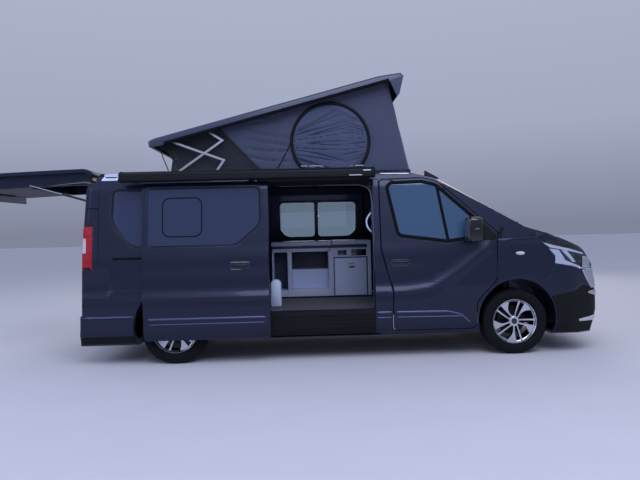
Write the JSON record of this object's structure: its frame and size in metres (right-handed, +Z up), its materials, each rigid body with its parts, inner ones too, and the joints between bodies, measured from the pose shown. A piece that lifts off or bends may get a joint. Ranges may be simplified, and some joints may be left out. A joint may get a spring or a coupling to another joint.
{
  "type": "camper van",
  "caption": "Panel-van camper with a raised pop-up roof, open sliding side door, open tailgate and a side awning; wheels, doors, bonnet and roof move.",
  "frame": {"origin": "on the ground under the middle of the van's bounding box with the tailgate open", "axes": "+X to the front of the van, +Y to its left side, +Z up"},
  "size_m": [6.7332, 2.282, 2.9729],
  "materials": {
    "paint": "dark blue-grey metallic paint",
    "black_plastic": "grained black moulding",
    "glass": "tinted safety glass",
    "clear_glass": "clear safety glass",
    "lamp": "clear lamp cover",
    "tail_lamp": "red lamp cover",
    "steel": "black coated steel",
    "aluminium": "brushed aluminium",
    "alloy": "machined alloy with dark pockets",
    "tyre": "black rubber",
    "canvas": "coated grey canvas",
    "seat_cloth": "woven seat cloth",
    "board": "light grey laminated board",
    "trim": "dark moulded trim"
  },
  "bodies": {
    "body": {"floor_pan": "paint", "side_left": "paint", "side_right": "paint", "roof_frame": "paint", "cab_frame": "paint", "windscreen": "clear_glass", "side_glass": "glass", "front_wings": "paint", "front_bumper": "paint", "grille": "black_plastic", "headlamps": "lamp", "rear_lamps": "tail_lamp", "rear_bumper": "paint", "sliding_door": "paint", "sliding_door_glass": "glass", "awning": "black_plastic", "kitchen_unit": "board", "bench_seat": "seat_cloth", "front_seats": "seat_cloth", "dashboard": "trim", "steering_wheel": "trim", "engine_block": "steel", "rear_axle": "steel", "front_subframe": "steel", "roof_canvas": "canvas"},
    "door_left": {"door_left": "paint", "door_left_glass": "clear_glass", "mirror_left": "black_plastic"},
    "door_right": {"door_right": "paint", "door_right_glass": "clear_glass", "mirror_right": "black_plastic"},
    "bonnet": {"bonnet": "paint"},
    "tailgate": {"tailgate": "paint", "tailgate_glass": "glass"},
    "strut_tubes": {"strut_tubes": "steel"},
    "strut_rods": {"strut_rods": "steel"},
    "pop_roof": {"pop_roof_shell": "paint"},
    "long_lower_bars": {"scissor_long_lower": "aluminium"},
    "short_upper_bars": {"scissor_short_upper": "aluminium"},
    "long_upper_bars": {"scissor_long_upper": "aluminium"},
    "short_lower_bars": {"scissor_short_lower": "aluminium"},
    "knuckle_left": {"knuckle_left": "steel"},
    "knuckle_right": {"knuckle_right": "steel"},
    "wheel_front_left": {"tyre_front_left": "tyre", "rim_front_left": "alloy"},
    "wheel_front_right": {"tyre_front_right": "tyre", "rim_front_right": "alloy"},
    "wheel_rear_left": {"tyre_rear_left": "tyre", "rim_rear_left": "alloy"},
    "wheel_rear_right": {"tyre_rear_right": "tyre", "rim_rear_right": "alloy"}
  },
  "joints": [
    {"name": "front_door_left_hinge", "type": "hinge", "parent": "body", "child": "door_left", "pos_m": [2.12513, 0.9715, 0.72], "axis": [0, 0.073, -0.9973], "range_deg": [0, 65]},
    {"name": "front_door_right_hinge", "type": "hinge", "parent": "body", "child": "door_right", "pos_m": [2.12513, -0.9715, 0.72], "axis": [0, 0.073, 0.9973], "range_deg": [0, 65]},
    {"name": "bonnet_hinge", "type": "hinge", "parent": "body", "child": "bonnet", "pos_m": [2.67013, 0, 1.3], "axis": [0, -1, 0], "range_deg": [0, 55]},
    {"name": "tailgate_hinge", "type": "hinge", "parent": "body", "child": "tailgate", "pos_m": [-1.91987, 0, 1.945], "axis": [0, -1, 0], "range_deg": [0, 85]},
    {"name": "strut_tube_hinge", "type": "hinge", "parent": "body", "child": "strut_tubes", "pos_m": [-1.93487, 0, 1.654], "axis": [0, -1, 0], "range_deg": [0, 110.66]},
    {"name": "strut_rod_slide", "type": "slide", "parent": "strut_tubes", "child": "strut_rods", "axis": [0.9586, 0, -0.2849], "range_m": [0, 0.3013]},
    {"name": "roof_lift", "type": "hinge", "parent": "body", "child": "pop_roof", "pos_m": [-2.28581, 0, 1.57856], "axis": [0, 1, 0], "range_deg": [0, 14.6], "deforming": ["roof_canvas"]},
    {"name": "long_lower_bar_hinge", "type": "hinge", "parent": "body", "child": "long_lower_bars", "pos_m": [-1.11487, 0, 1.978], "axis": [0, 1, 0], "range_deg": [0, 33.97]},
    {"name": "short_upper_bar_hinge", "type": "hinge", "parent": "pop_roof", "child": "short_upper_bars", "pos_m": [-0.79362, 0, 2.39552], "axis": [0, -1, 0], "range_deg": [0, 46.98]},
    {"name": "long_upper_bar_hinge", "type": "hinge", "parent": "pop_roof", "child": "long_upper_bars", "pos_m": [-1.1778, 0, 2.29544], "axis": [0, -1, 0], "range_deg": [0, 34.69]},
    {"name": "short_lower_bar_hinge", "type": "hinge", "parent": "body", "child": "short_lower_bars", "pos_m": [-0.71087, 0, 1.978], "axis": [0, 1, 0], "range_deg": [0, 52.46]},
    {"name": "steer_left", "type": "hinge", "parent": "body", "child": "knuckle_left", "pos_m": [2.35313, 0.735, 0.338], "axis": [0, 0, 1], "range_deg": [-28, 28]},
    {"name": "steer_right", "type": "hinge", "parent": "body", "child": "knuckle_right", "pos_m": [2.35313, -0.735, 0.338], "axis": [0, 0, 1], "range_deg": [-28, 28]},
    {"name": "spin_front_left", "type": "hinge", "parent": "knuckle_left", "child": "wheel_front_left", "pos_m": [2.35313, 0.8075, 0.338], "axis": [0, 1, 0], "continuous": true},
    {"name": "spin_front_right", "type": "hinge", "parent": "knuckle_right", "child": "wheel_front_right", "pos_m": [2.35313, -0.8075, 0.338], "axis": [0, 1, 0], "continuous": true},
    {"name": "spin_rear_left", "type": "hinge", "parent": "body", "child": "wheel_rear_left", "pos_m": [-1.14487, 0.814, 0.338], "axis": [0, 1, 0], "continuous": true},
    {"name": "spin_rear_right", "type": "hinge", "parent": "body", "child": "wheel_rear_right", "pos_m": [-1.14487, -0.814, 0.338], "axis": [0, 1, 0], "continuous": true}
  ],
  "couplings": [
    {"joint": "strut_tube_hinge", "follows": "tailgate_hinge", "ratio": 1.3019},
    {"joint": "strut_rod_slide", "follows": "tailgate_hinge", "m_per_rad": 0.20309},
    {"joint": "long_lower_bar_hinge", "follows": "roof_lift", "ratio": 2.3268},
    {"joint": "short_upper_bar_hinge", "follows": "roof_lift", "ratio": 3.2179},
    {"joint": "long_upper_bar_hinge", "follows": "roof_lift", "ratio": 2.3758},
    {"joint": "short_lower_bar_hinge", "follows": "roof_lift", "ratio": 3.5932},
    {"joint": "steer_right", "follows": "steer_left", "ratio": 1}
  ]
}
